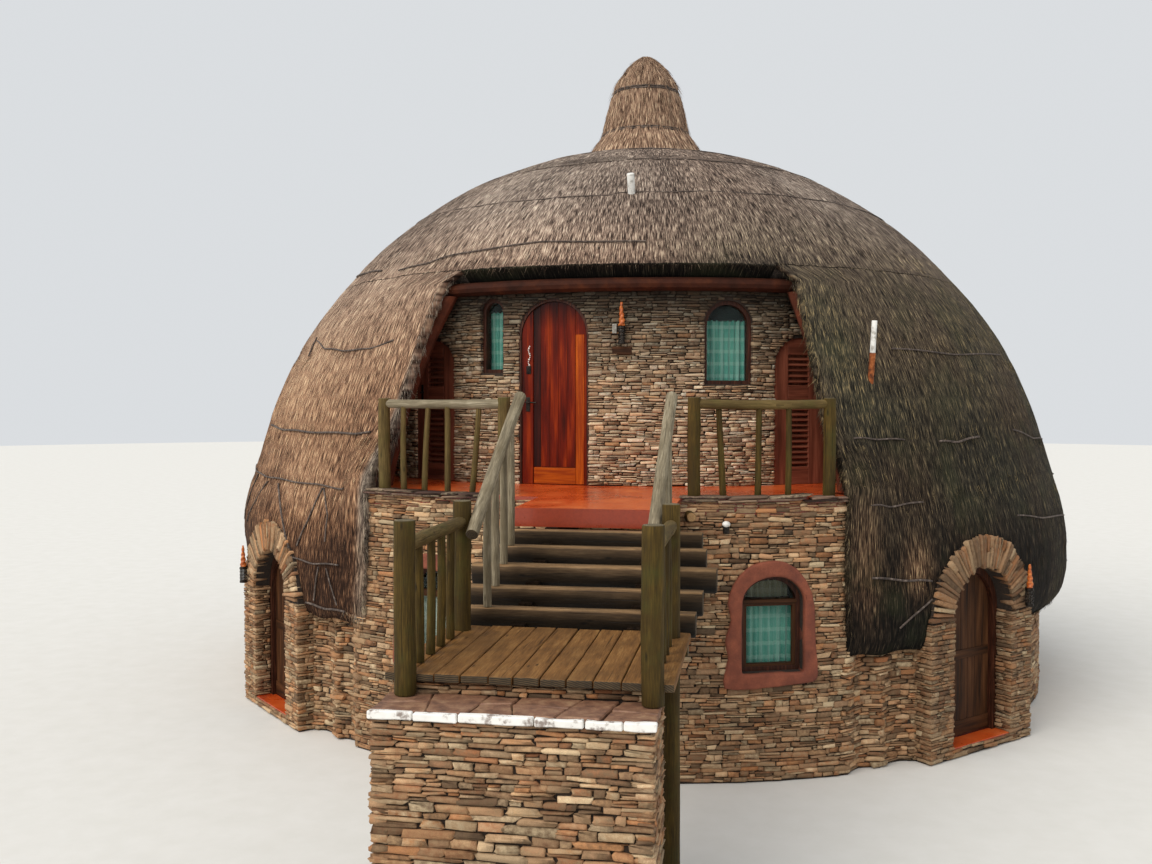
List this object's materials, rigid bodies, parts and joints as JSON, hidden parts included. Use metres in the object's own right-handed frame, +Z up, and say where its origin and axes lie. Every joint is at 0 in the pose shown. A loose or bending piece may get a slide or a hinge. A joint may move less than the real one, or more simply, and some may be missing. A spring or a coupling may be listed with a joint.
{
  "type": "two-storey round stone lodge house with a thatched dome",
  "caption": "Round stone house under a tall thatched dome, with a recessed upper veranda reached by log steps over a timber landing, arched doors and windows, and ground doors that open.",
  "frame": {"origin": "centre of the dome's plan on the lowest ground, on the underside of the ground floor", "axes": "+Z is up, the veranda and stair face -Y, +X is to the right as seen from the stair"},
  "size_m": [11.9433, 16.5056, 9.2],
  "materials": {
    "ledge_stone": "stacked ledge stone in tan, reddish and orange browns with dark joints",
    "red_concrete": "polished brick-red cement floor",
    "terracotta_plaster": "hand-worked terracotta plaster",
    "mahogany": "varnished reddish planks",
    "dark_timber": "dark red-brown stain",
    "window_glass": "clear glass",
    "thatch_grass": "weathered grass thatch",
    "topknot_grass": "bound grass topknot",
    "brown_log": "olive-brown treated log",
    "pale_log": "weathered grey log",
    "deck_timber": "wet dark brown timber",
    "lantern_iron": "black painted iron"
  },
  "bodies": {
    "house": {"bay_wall_left": "ledge_stone", "bay_wall_right": "ledge_stone", "door_bay_left": "ledge_stone", "door_bay_right": "ledge_stone", "entry_abutment": "ledge_stone", "entry_step": "ledge_stone", "ground_floor": "red_concrete", "ground_window_left_glass": "window_glass", "ground_window_left_sash": "dark_timber", "ground_window_right_glass": "window_glass", "ground_window_right_sash": "dark_timber", "landing_bearer": "brown_log", "landing_deck": "deck_timber", "landing_rail_left": "brown_log", "landing_rail_right": "brown_log", "left_door_frame": "mahogany", "left_door_lantern": "lantern_iron", "louvred_door_left": "dark_timber", "louvred_door_right": "dark_timber", "lower_wall_back_left": "ledge_stone", "lower_wall_back_right": "ledge_stone", "main_door_frame": "dark_timber", "main_door_leaf": "mahogany", "right_door_frame": "mahogany", "right_door_lantern": "lantern_iron", "stair_carriage_left": "brown_log", "stair_carriage_right": "brown_log", "stair_rail_left": "pale_log", "stair_rail_right": "pale_log", "stair_tread_1": "deck_timber", "stair_tread_2": "deck_timber", "stair_tread_3": "deck_timber", "stair_tread_4": "deck_timber", "stair_tread_5": "deck_timber", "thatch_back": "thatch_grass", "thatch_crown": "thatch_grass", "thatch_front_left": "thatch_grass", "thatch_front_right": "thatch_grass", "thatch_side_left": "thatch_grass", "thatch_side_right": "thatch_grass", "thatch_topknot": "topknot_grass", "upper_floor": "red_concrete", "upper_wall_back_left": "ledge_stone", "upper_wall_back_right": "ledge_stone", "upper_wall_front_left": "ledge_stone", "upper_wall_front_right": "ledge_stone", "upper_window_left_glass": "window_glass", "upper_window_left_sash": "dark_timber", "upper_window_right_glass": "window_glass", "upper_window_right_sash": "dark_timber", "veranda_lantern": "lantern_iron", "veranda_leg_left": "terracotta_plaster", "veranda_leg_right": "terracotta_plaster", "veranda_lintel": "terracotta_plaster", "veranda_rail_left": "brown_log", "veranda_rail_right": "brown_log", "window_surround_left": "terracotta_plaster", "window_surround_right": "terracotta_plaster"},
    "left_door": {"left_door_leaf": "mahogany"},
    "right_door": {"right_door_leaf": "mahogany"}
  },
  "joints": [
    {"name": "left_door_hinge", "type": "hinge", "parent": "house", "child": "left_door", "pos_m": [-4.35684, -3.66175, 1], "axis": [0, 0, 1], "range_deg": [0, 90]},
    {"name": "right_door_hinge", "type": "hinge", "parent": "house", "child": "right_door", "pos_m": [4.35684, -3.66175, 1], "axis": [0, 0, -1], "range_deg": [0, 90]}
  ]
}
